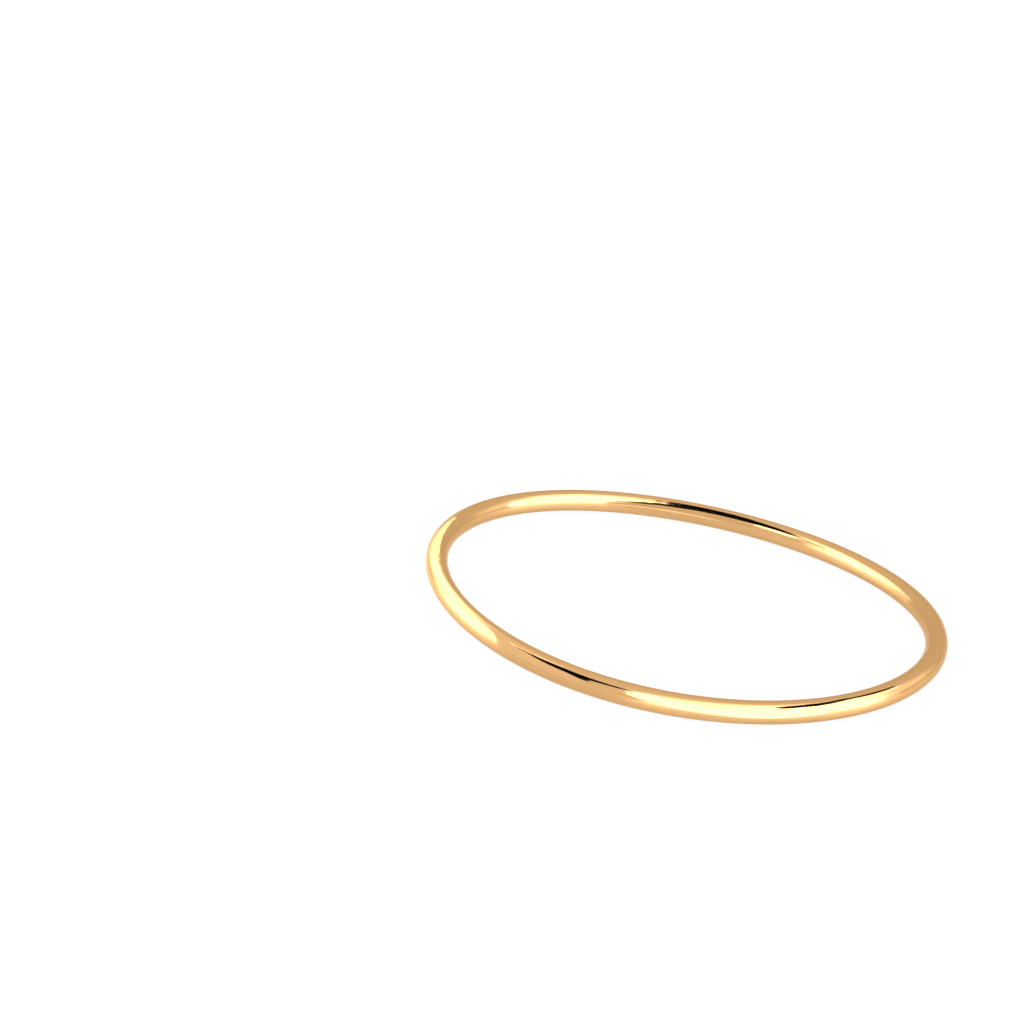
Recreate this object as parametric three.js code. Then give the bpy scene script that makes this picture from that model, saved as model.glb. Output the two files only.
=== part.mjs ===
// A plain stackable finger ring, lying on its side: one length of round wire, bent to a circle,
// soldered shut and polished. Like most thin rings it isn't quite flat. It is sprung a little out of
// its plane, like the rim of a shallow saddle, so it lies on two low places and rises between them.
// Millimetres, +Z up. The origin is under the middle of the finger hole, on the surface it lies on.
import * as THREE from "three";

// Finger hole of the ring, ring size 54 (54 mm round the finger).
const BORE_DIAMETER = 17.2;
// Thickness of the round wire.
const WIRE_DIAMETER = 0.8;
// How far the high places rise above the band's mean plane, and the low places lie below it.
const SPRING_RISE = 0.15;
// Flat sides round the wire, and steps round the band.
const WIRE_SIDES = 24;
const BAND_STEPS = 128;

const wireRadius = WIRE_DIAMETER / 2;
const centrelineRadius = BORE_DIAMETER / 2 + wireRadius;

// The wire's cross-section, closed on itself, a flat side facing straight down.
// Its sides touch the round wire's true circle from outside, so bore and thickness are exact there.
function wireSection() {
  const cornerRadius = wireRadius / Math.cos(Math.PI / WIRE_SIDES);
  const corners = [];
  for (let side = 0; side <= WIRE_SIDES; side++) {
    const angle = (2 * Math.PI * ((side % WIRE_SIDES) + 0.5)) / WIRE_SIDES;
    const outward = centrelineRadius + cornerRadius * Math.cos(angle);
    const upward = cornerRadius * Math.sin(angle);
    corners.push(new THREE.Vector2(outward, upward));
  }
  return corners;
}

// Raises or lowers each point by its place round the band: highest on the X axis, lowest on the Y axis.
function springOutOfPlane(geometry) {
  const points = geometry.getAttribute("position");
  for (let i = 0; i < points.count; i++) {
    const turn = Math.atan2(points.getY(i), points.getX(i));
    points.setZ(i, points.getZ(i) + SPRING_RISE * Math.cos(2 * turn));
  }
  geometry.computeVertexNormals();
}

// The band starts half a step round, so that one step lies level across each low place.
function band() {
  const halfStep = Math.PI / BAND_STEPS;
  const geometry = new THREE.LatheGeometry(wireSection(), BAND_STEPS, halfStep, 2 * Math.PI);
  geometry.rotateX(Math.PI / 2);
  springOutOfPlane(geometry);
  const polishedGold = new THREE.MeshStandardMaterial({
    color: 0xe6b479,
    metalness: 1,
    roughness: 0.08,
  });
  const mesh = new THREE.Mesh(geometry, polishedGold);
  mesh.name = "band";
  return mesh;
}

const ring = new THREE.Group();
ring.add(band());
// The two low places touch the surface, at height zero.
ring.position.z = wireRadius + SPRING_RISE;

export default ring;
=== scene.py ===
from math import atan2, cos, hypot, pi, radians, sin, sqrt

import bmesh
import bpy
from mathutils import Matrix, Vector


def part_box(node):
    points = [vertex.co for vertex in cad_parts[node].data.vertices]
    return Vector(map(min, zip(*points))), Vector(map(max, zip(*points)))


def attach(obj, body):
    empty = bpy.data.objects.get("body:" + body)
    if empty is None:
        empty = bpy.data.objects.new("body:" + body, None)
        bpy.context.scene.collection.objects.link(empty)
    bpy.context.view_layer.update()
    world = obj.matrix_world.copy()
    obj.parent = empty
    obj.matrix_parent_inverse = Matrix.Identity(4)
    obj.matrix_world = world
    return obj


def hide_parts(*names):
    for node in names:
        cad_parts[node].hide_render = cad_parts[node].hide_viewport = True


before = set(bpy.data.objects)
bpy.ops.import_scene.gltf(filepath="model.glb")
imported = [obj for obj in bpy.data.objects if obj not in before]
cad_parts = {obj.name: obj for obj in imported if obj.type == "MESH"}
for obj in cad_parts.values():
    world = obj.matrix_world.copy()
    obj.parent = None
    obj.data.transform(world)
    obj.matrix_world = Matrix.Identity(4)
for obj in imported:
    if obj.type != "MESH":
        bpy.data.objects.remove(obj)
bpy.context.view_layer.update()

# The camera. It stands about 110 mm from the ring and looks 21 degrees down on it, a little to the
# left of the ring's middle, and is held with its right side raised, as the photograph was taken.
MM = 0.001
camera_place = Vector((18.19, -100.23, 41.86)) * MM
camera_aim = Vector((-7.752, 3.71, 0.564)) * MM
camera_roll = radians(9.62)
camera_data = bpy.data.cameras.new("camera")
camera_data.sensor_width = 36
camera_data.lens = 108.3
camera_data.clip_start = 10 * MM
camera = bpy.data.objects.new("camera", camera_data)
bpy.context.scene.collection.objects.link(camera)
looking = (camera_aim - camera_place).to_track_quat("-Z", "Y").to_matrix().to_4x4()
camera.matrix_world = Matrix.Translation(camera_place) @ looking @ Matrix.Rotation(camera_roll, 4, "Z")
bpy.context.scene.camera = camera

# The band is the whole ring: one length of plain round wire in yellow gold, bent to a circle, soldered
# shut and polished, so the seam doesn't show. It is sprung a little out of flat, like a saddle's rim.
wire_radius = 0.4 * MM
wire_sides = 64
band_steps = 512
low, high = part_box("band")
centreline_radius = (high.x - low.x) / 2 - wire_radius
middle_height = (high.z + low.z) / 2
spring_rise = (high.z - low.z) / 2 - wire_radius


def new_piece(name, bm, smooth=True):
    mesh = bpy.data.meshes.new(name)
    bm.to_mesh(mesh)
    bm.free()
    for face in mesh.polygons:
        face.use_smooth = smooth
    piece = bpy.data.objects.new(name, mesh)
    bpy.context.scene.collection.objects.link(piece)
    return piece


bm = bmesh.new()
upright = Matrix.Translation((centreline_radius, 0, 0)) @ Matrix.Rotation(pi / 2, 4, "X")
bmesh.ops.create_circle(bm, cap_ends=False, radius=wire_radius, segments=wire_sides, matrix=upright)
bmesh.ops.spin(
    bm, geom=bm.verts[:] + bm.edges[:], axis=(0, 0, 1), cent=(0, 0, 0), angle=2 * pi,
    steps=band_steps, use_merge=True, use_duplicate=False)
# Each point keeps its place across the wire, outward and upward from its middle, for the drawing lines.
across_wire = bm.verts.layers.float_vector.new("across_wire")
for vert in bm.verts:
    vert[across_wire] = (hypot(vert.co.x, vert.co.y) - centreline_radius, vert.co.z, 0)
    turn = atan2(vert.co.y, vert.co.x)
    vert.co.z += middle_height + spring_rise * cos(2 * turn)
bmesh.ops.recalc_face_normals(bm, faces=bm.faces[:])
band = new_piece("polished_band", bm)


def linear(hex_colour):
    channels = [int(hex_colour[i:i + 2], 16) / 255 for i in (1, 3, 5)]
    return [c / 12.92 if c <= 0.04045 else ((c + 0.055) / 1.055) ** 2.4 for c in channels] + [1]


def add_node(tree, kind, inputs, **settings):
    node = tree.nodes.new("ShaderNode" + kind)
    for name, value in settings.items():
        setattr(node, name, value)
    for socket, value in inputs.items():
        if isinstance(value, bpy.types.NodeSocket):
            tree.links.new(value, node.inputs[socket])
        else:
            node.inputs[socket].default_value = value
    return node


def new_material(name):
    material = bpy.data.materials.new(name)
    material.use_nodes = True
    tree = material.node_tree
    tree.nodes.clear()
    return material, tree


# Yellow gold, drawn to wire and polished on a buff. It is a mirror, so what it shows is the room: the
# buff leaves long waves that make the edges of the highlights wander, and the lines of the drawing
# follow the wire. Its colour changes a little along the wire, and is paler at a glancing angle.
gold, tree = new_material("polished_yellow_gold")
place = add_node(tree, "TexCoord", {}).outputs["Object"]
# Waves of 2.2 mm with ripples of half and a quarter of that on them, some 10 micrometres deep.
wave_length, wave_depth = 2.2 * MM, 0.03 * MM
waves = add_node(tree, "TexNoise", {
    "Vector": place, "Scale": 1 / wave_length, "Detail": 2, "Roughness": 0.7}).outputs["Fac"]
waved = add_node(tree, "Bump", {"Height": waves, "Strength": 1, "Distance": wave_depth})
# Drawing lines along the wire. The real ones are finer than this picture can show.
line_width, line_length, line_depth = 0.04 * MM, 3 * MM, 0.0004 * MM
around = add_node(tree, "Attribute", {}, attribute_name="across_wire").outputs["Vector"]
along = add_node(tree, "VectorMath", {0: place, "Scale": 1 / line_length}, operation="SCALE").outputs[0]
line_place = add_node(tree, "VectorMath", {
    0: around, 1: (1 / line_width,) * 3, 2: along}, operation="MULTIPLY_ADD").outputs[0]
lines = add_node(tree, "TexNoise", {"Vector": line_place, "Scale": 1, "Detail": 1}).outputs["Fac"]
surface = add_node(tree, "Bump", {
    "Height": lines, "Strength": 1, "Distance": line_depth, "Normal": waved.outputs["Normal"]})
dullness = add_node(tree, "MapRange", {
    "Value": lines, "From Min": 0.35, "From Max": 0.7, "To Min": 0.06, "To Max": 0.12}).outputs["Result"]
patch_size = 3.5 * MM
warmth = add_node(tree, "TexNoise", {"Vector": place, "Scale": 1 / patch_size, "Detail": 2}).outputs["Fac"]
colour = add_node(tree, "Mix", {
    0: warmth, 6: linear("#D7A872"), 7: linear("#D1A46E")}, data_type="RGBA").outputs[2]
shader = add_node(tree, "BsdfPrincipled", {
    "Base Color": colour, "Metallic": 1, "Roughness": dullness, "Specular Tint": linear("#F0DFC8"),
    "Normal": surface.outputs["Normal"]})
add_node(tree, "OutputMaterial", {"Surface": shader.outputs["BSDF"]})
band.data.materials.append(gold)
# The gold doesn't mirror itself, nor does the sheet it lies on mirror it, as in the photograph.
band.visible_glossy = band.visible_diffuse = False
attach(band, "root")
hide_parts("band")

# The surface the ring lies on: a 3 m sheet of satin white acrylic. Its soft gloss shows only at a low
# angle, where it carries the softboxes a little below the horizon in the gold.
bm = bmesh.new()
bmesh.ops.create_grid(bm, x_segments=1, y_segments=1, size=1.5)
floor = new_piece("floor", bm, smooth=False)
acrylic, tree = new_material("white_acrylic")
shader = add_node(tree, "BsdfPrincipled", {
    "Base Color": linear("#F7F7F7"), "Roughness": 0.35, "IOR": 1.49, "Coat Weight": 1,
    "Coat Roughness": 0.35})
add_node(tree, "OutputMaterial", {"Surface": shader.outputs["BSDF"]})
floor.data.materials.append(acrylic)

# A large soft light straight overhead brightens the sheet. It is kept out of the gold's reflections.
overhead = bpy.data.lights.new("overhead", "AREA")
overhead.size = 1200 * MM
overhead.energy = 1.6
overhead_light = bpy.data.objects.new("overhead", overhead)
overhead_light.location = (0, 0, 1000 * MM)
overhead_light.visible_glossy = False
bpy.context.scene.collection.objects.link(overhead_light)

# A spotlight brightens a round of the sheet in front of the ring, which the lower half of the wire
# mirrors. The sheet there is white in the picture with or without it.
round_radius, spot_height = 10 * MM, 300 * MM
front_spot = bpy.data.lights.new("front_spot", "SPOT")
front_spot.energy = 16
front_spot.spot_size = 2 * atan2(round_radius, spot_height)
front_spot.spot_blend = 0.12
front_spot.shadow_soft_size = 0
front_light = bpy.data.objects.new("front_spot", front_spot)
front_light.location = (10.1 * MM, -17.1 * MM, spot_height)
bpy.context.scene.collection.objects.link(front_light)

# The room: white walls and ceiling, brighter overhead and behind the camera than beyond the ring. The
# first vector points from the camera past the ring, and the light changes evenly between the walls.
beyond = Vector((-0.30, 0.95, 0))
room_beyond, room_behind, room_overhead = 1.09, 1.43, 1.4
slow_rise = 1.5
world = bpy.data.worlds.new("studio")
world.use_nodes = True
tree = world.node_tree
tree.nodes.clear()
sky = add_node(tree, "TexCoord", {}).outputs["Generated"]
outward = add_node(tree, "VectorMath", {0: sky, 1: (1, 1, 0)}, operation="MULTIPLY").outputs[0]
level = add_node(tree, "VectorMath", {0: outward}, operation="NORMALIZE").outputs[0]
side = add_node(tree, "VectorMath", {0: level, 1: beyond}, operation="DOT_PRODUCT").outputs["Value"]
walls = add_node(tree, "MapRange", {
    "Value": side, "From Min": -1, "From Max": 1, "To Min": room_behind, "To Max": room_beyond}).outputs[0]
height = add_node(tree, "SeparateXYZ", {0: sky}).outputs["Z"]
above = add_node(tree, "Math", {0: height, 1: 0}, operation="MAXIMUM").outputs[0]
rise = add_node(tree, "Math", {0: above, 1: slow_rise}, operation="POWER").outputs[0]
radiance = add_node(tree, "MapRange", {"Value": rise, "To Min": walls, "To Max": room_overhead}).outputs[0]
background = add_node(tree, "Background", {"Strength": radiance})
add_node(tree, "OutputWorld", {"Surface": background.outputs["Background"]})
bpy.context.scene.world = world
bpy.context.scene.view_settings.view_transform = "Standard"


# The softboxes are the cream highlights. Each is a bright sheet with rounded corners that fades towards
# its edge. Its place and half width and height are in millimetres, and its compass bearing from the
# ring, lean and turn in degrees. Only the gold and the floor's gloss see it, from up to its reach.
softbox_radiance = 4.3


def hide_card(card, material):
    material.cycles.emission_sampling = "NONE"
    card.data.materials.append(material)
    card.visible_camera = card.visible_diffuse = card.visible_shadow = False
    card.visible_transmission = card.visible_volume_scatter = False


def hang_softbox(
        name, place, bearing, lean, turn, half_width, half_height, roundness, feather,
        radiance=softbox_radiance, reach=1000):
    bm = bmesh.new()
    bmesh.ops.create_grid(bm, x_segments=1, y_segments=1, size=1)
    softbox = new_piece(name, bm, smooth=False)
    softbox.matrix_world = (
        Matrix.Translation(Vector(place) * MM) @ Matrix.Rotation(-radians(bearing), 4, "Z")
        @ Matrix.Rotation(pi / 2 + radians(lean), 4, "X") @ Matrix.Rotation(radians(turn), 4, "Z")
        @ Matrix.Diagonal((half_width * MM, half_height * MM, 1, 1)))
    material, tree = new_material(name)
    spot = add_node(tree, "TexCoord", {}).outputs["Object"]
    from_middle = add_node(tree, "VectorMath", {0: spot}, operation="ABSOLUTE").outputs[0]
    parts = add_node(tree, "SeparateXYZ", {0: from_middle}).outputs
    wide = add_node(tree, "Math", {0: parts["X"], 1: roundness}, operation="POWER").outputs[0]
    high = add_node(tree, "Math", {0: parts["Y"], 1: roundness}, operation="POWER").outputs[0]
    both = add_node(tree, "Math", {0: wide, 1: high}, operation="ADD").outputs[0]
    outwards = add_node(tree, "Math", {0: both, 1: 1 / roundness}, operation="POWER").outputs[0]
    faded = add_node(tree, "MapRange", {
        "Value": outwards, "From Min": 1, "From Max": 1 - feather},
        interpolation_type="SMOOTHSTEP").outputs[0]
    distance = add_node(tree, "LightPath", {}).outputs["Ray Length"]
    reached = add_node(tree, "Math", {0: distance, 1: reach * MM}, operation="LESS_THAN").outputs[0]
    shown = add_node(tree, "Math", {0: faded, 1: reached}, operation="MULTIPLY").outputs[0]
    clear = add_node(tree, "BsdfTransparent", {}).outputs[0]
    glow = add_node(tree, "Emission", {"Strength": radiance}).outputs[0]
    mixed = add_node(tree, "MixShader", {0: shown, 1: clear, 2: glow}).outputs[0]
    add_node(tree, "OutputMaterial", {"Surface": mixed})
    hide_card(softbox, material)


hang_softbox(
    "softbox_left", place=(-17.3, 5.8, 8.7), bearing=-71.5, lean=24, turn=65,
    half_width=10.7, half_height=13.8, roundness=2.25, feather=0.91)
hang_softbox(
    "softbox_left_low", place=(-30, -7, -2), bearing=-103, lean=-5, turn=-97,
    half_width=118, half_height=22.5, roundness=3.2, feather=0.93)
hang_softbox(
    "softbox_right", place=(103, -38, 92), bearing=110.5, lean=40, turn=-84,
    half_width=192, half_height=220, roundness=5, feather=0.97)
hang_softbox(
    "softbox_right_high", place=(179, -17, 88), bearing=95.5, lean=26, turn=100,
    half_width=220, half_height=113, roundness=7, feather=0.5)
hang_softbox(
    "softbox_front", place=(7.9, -18.1, 2.2), bearing=163, lean=0, turn=0,
    half_width=6, half_height=3.5, roundness=4, feather=0.4, reach=20)
hang_softbox(
    "white_wall", place=(110, 86, 56), bearing=52, lean=22, turn=0,
    half_width=70, half_height=60, roundness=2.5, feather=0.9, radiance=1.6)


# Black, grey and white cards, cut to shape as a photographer cuts them, are the dark lines and the sharp
# ends of the highlights. Each is cut from one flat sheet, clear from behind, until its mirror image in
# the gold has the outline wanted, and is seen only from between its nearest and farthest distance.
# An outline's corners are degrees round the ring, counterclockwise from +X, and places across the wire
# as the camera sees it, from -1 at the finger hole to 1 at the outside.
def mirrored(turn, across):
    turn = radians(turn)
    outward = Vector((cos(turn), sin(turn), 0))
    middle = outward * centreline_radius
    middle.z = middle_height + spring_rise * cos(2 * turn)
    along = Vector((-sin(turn) * centreline_radius, cos(turn) * centreline_radius,
                    -2 * spring_rise * sin(2 * turn))).normalized()
    sideways = (middle - camera_place).cross(along).normalized()
    normal = across * sideways + sqrt(1 - across ** 2) * sideways.cross(along)
    point = middle + wire_radius * normal
    return point, (point - camera_place).normalized().reflect(normal)


def cut_card(name, place, bearing, lean, radiance, outline, nearest=0, farthest=1000):
    place = Vector(place) * MM
    downward = Vector((0, -cos(radians(lean)), -sin(radians(lean))))
    facing = Matrix.Rotation(-radians(bearing), 3, "Z") @ downward
    bm = bmesh.new()
    corners = []
    for turn, across in outline:
        point, ray = mirrored(turn, across)
        corners.append(bm.verts.new(point + ray * ((place - point).dot(facing) / ray.dot(facing))))
    sheet = bm.faces.new(corners)
    sheet.normal_update()
    if sheet.normal.dot(facing) < 0:
        sheet.normal_flip()
    card = new_piece(name, bm, smooth=False)
    material, tree = new_material(name)
    behind = add_node(tree, "NewGeometry", {}).outputs["Backfacing"]
    distance = add_node(tree, "LightPath", {}).outputs["Ray Length"]
    too_near = add_node(tree, "Math", {0: distance, 1: nearest * MM}, operation="LESS_THAN").outputs[0]
    too_far = add_node(tree, "Math", {0: distance, 1: farthest * MM}, operation="GREATER_THAN").outputs[0]
    off = add_node(tree, "Math", {0: too_near, 1: too_far}, operation="MAXIMUM").outputs[0]
    hidden = add_node(tree, "Math", {0: behind, 1: off}, operation="MAXIMUM").outputs[0]
    front = add_node(tree, "Emission", {"Strength": radiance}).outputs[0]
    clear = add_node(tree, "BsdfTransparent", {}).outputs[0]
    mixed = add_node(tree, "MixShader", {0: hidden, 1: front, 2: clear}).outputs[0]
    add_node(tree, "OutputMaterial", {"Surface": mixed})
    hide_card(card, material)


cut_card(
    "black_card_far", place=(2.4, -7.6, 0.6), bearing=182.5, lean=35, radiance=0,
    outline=[
        (74, 0.35), (77.5, 0.27), (93.5, 0.28), (109.5, 0.21), (115, 0.12), (124, 0), (116.5, 0.25),
        (110.8, 0.39), (110.5, 0.66), (102, 0.68), (93, 0.675), (84, 0.575)])
cut_card(
    "black_card_left", place=(-2.4, 7.6, 0.6), bearing=2.5, lean=65, radiance=0,
    outline=[
        (244, -0.315), (250.5, -0.4), (258.5, -0.435), (266.5, -0.39), (273.5, -0.35), (273.5, -0.285),
        (264.7, -0.235), (264, -0.05), (258.5, -0.15), (252.5, -0.235)])
cut_card(
    "black_card_right", place=(-2.4, 7.6, 0.6), bearing=-37.5, lean=50, radiance=0,
    outline=[
        (302, -0.4), (306.5, -0.5), (312.5, -0.55), (319, -0.61), (323.5, -0.57), (328.5, -0.525),
        (334, -0.46), (334, -0.33), (327.5, -0.385), (323, -0.465), (319, -0.43), (312.5, -0.325),
        (304.5, -0.285)])
cut_card(
    "white_card_far", place=(2.4, -7.6, 0.6), bearing=182.5, lean=35, radiance=softbox_radiance,
    outline=[
        (75, 0.27), (75, 0.14), (78.5, 0.07), (82.5, 0.09), (86.5, 0.17), (87, 0.27)])
cut_card(
    "white_card_beyond", place=(75, 51, 32), bearing=60, lean=18, radiance=softbox_radiance, nearest=97,
    outline=[
        (149, 0.25), (153.5, 0.25), (155.5, 0.1), (154.5, -0.2), (149.5, -0.25), (148, 0)])
cut_card(
    "white_card_left", place=(-11.2, 8.7, 5.6), bearing=-13, lean=22, radiance=3, nearest=9, farthest=15,
    outline=[
        (179.5, 0.6), (180.5, 0.45), (188.5, 0.12), (197.5, -0.25), (204.5, -0.38), (207.5, -0.2),
        (201.5, 0.1), (195.5, 0.2), (187.5, 0.55), (184, 0.7)])
cut_card(
    "white_card_front", place=(5.5, -18.6, 7.1), bearing=160, lean=32, radiance=softbox_radiance, farthest=24,
    outline=[
        (272.5, 0.02), (272.5, -0.33), (275, -0.38), (279.5, -0.38), (287.5, -0.15), (311, -0.08),
        (311, 0.22), (285, 0.22), (277.5, 0.18), (274, 0.1)])
cut_card(
    "grey_card_left", place=(-12.1, -14.5, 9.3), bearing=-121, lean=38, radiance=1.25, farthest=25,
    outline=[
        (243, 0.6), (242, 0.3), (241.5, 0), (239, -0.27), (236, -0.6), (249.5, -0.68), (251.5, -0.45),
        (243.5, -0.36), (243.3, -0.31), (250.5, -0.215), (258.5, -0.13), (263.5, 0), (263.5, 0.6)])
cut_card(
    "grey_card_far", place=(-1, -20, 11), bearing=178, lean=20, radiance=1, nearest=30,
    outline=[
        (87.5, 0.26), (87.5, -0.17), (97.5, -0.18), (107.5, -0.18), (117.5, -0.18), (125.5, -0.17),
        (125.5, -0.06), (120.5, 0.03), (114.5, 0.15), (109.5, 0.22), (97.5, 0.27)])
